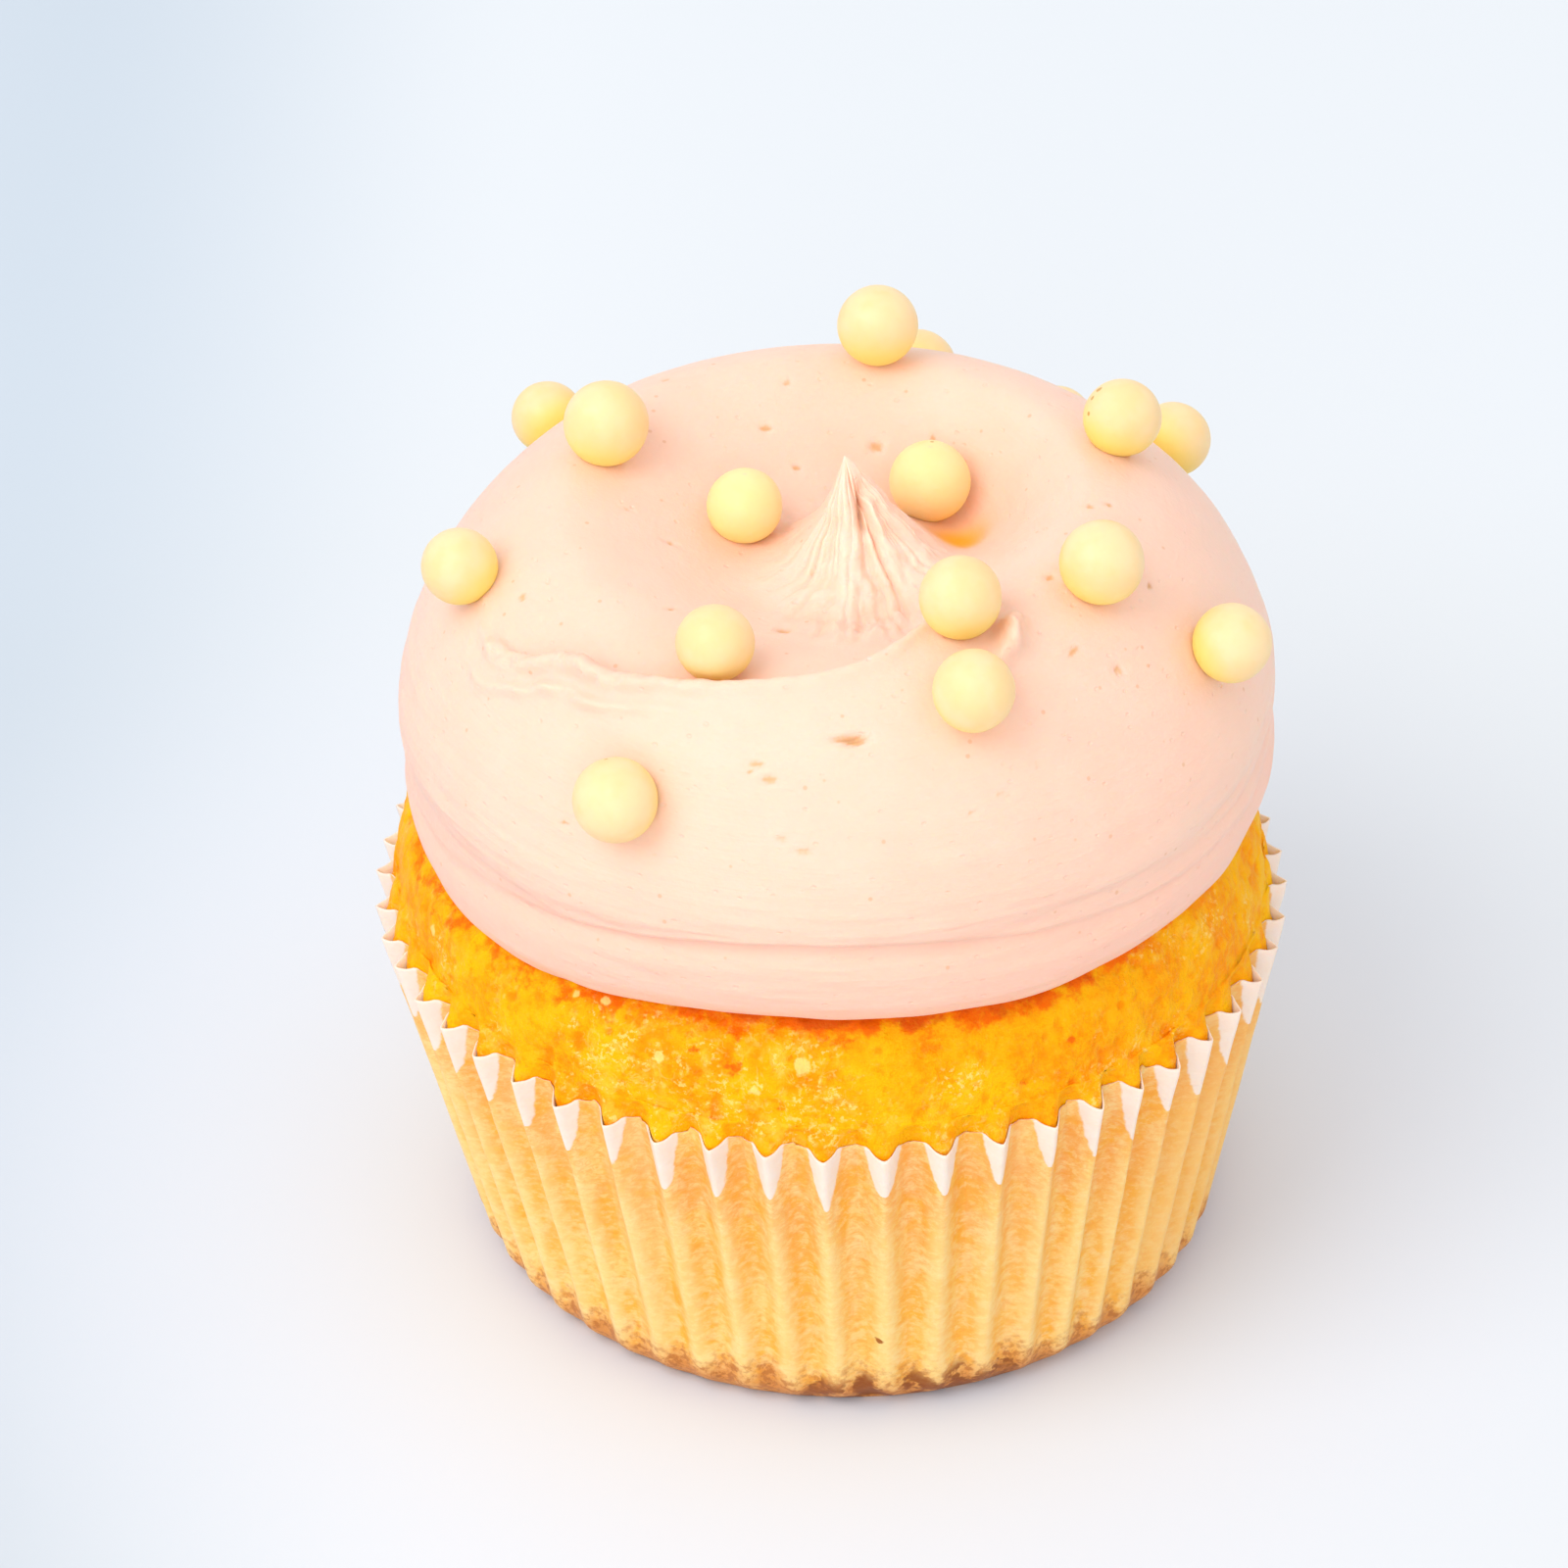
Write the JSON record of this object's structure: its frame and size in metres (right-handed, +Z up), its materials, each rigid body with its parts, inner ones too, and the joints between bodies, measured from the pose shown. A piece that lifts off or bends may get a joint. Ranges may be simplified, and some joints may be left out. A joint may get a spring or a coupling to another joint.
{
  "type": "cupcake",
  "caption": "Vanilla cupcake in a pleated paper case, topped with a smooth swirl of pale pink frosting pulled to a peak and round yellow sugar pearls.",
  "frame": {"origin": "middle of the base of the paper case, on the surface that it stands on", "axes": "+Z up, -Y towards the side that the picture shows"},
  "size_m": [0.0696, 0.0705, 0.0697],
  "materials": {
    "baking_paper": "greaseproof paper, soaked and see-through where it touches the sponge, dry and white at the folds by the rim",
    "sponge_crumb": "moist open crumb, baked golden",
    "buttercream": "smooth buttercream with a soft sheen, fine air holes and drag lines",
    "sugar_pearl": "smooth sugar shell with a soft shine"
  },
  "bodies": {
    "root": {"paper_case": "baking_paper", "sponge": "sponge_crumb", "frosting": "buttercream", "pearl_01": "sugar_pearl", "pearl_02": "sugar_pearl", "pearl_03": "sugar_pearl", "pearl_04": "sugar_pearl", "pearl_05": "sugar_pearl", "pearl_06": "sugar_pearl", "pearl_07": "sugar_pearl", "pearl_08": "sugar_pearl", "pearl_09": "sugar_pearl", "pearl_10": "sugar_pearl", "pearl_11": "sugar_pearl", "pearl_12": "sugar_pearl", "pearl_13": "sugar_pearl", "pearl_14": "sugar_pearl", "pearl_15": "sugar_pearl", "pearl_16": "sugar_pearl", "pearl_17": "sugar_pearl"}
  },
  "joints": []
}
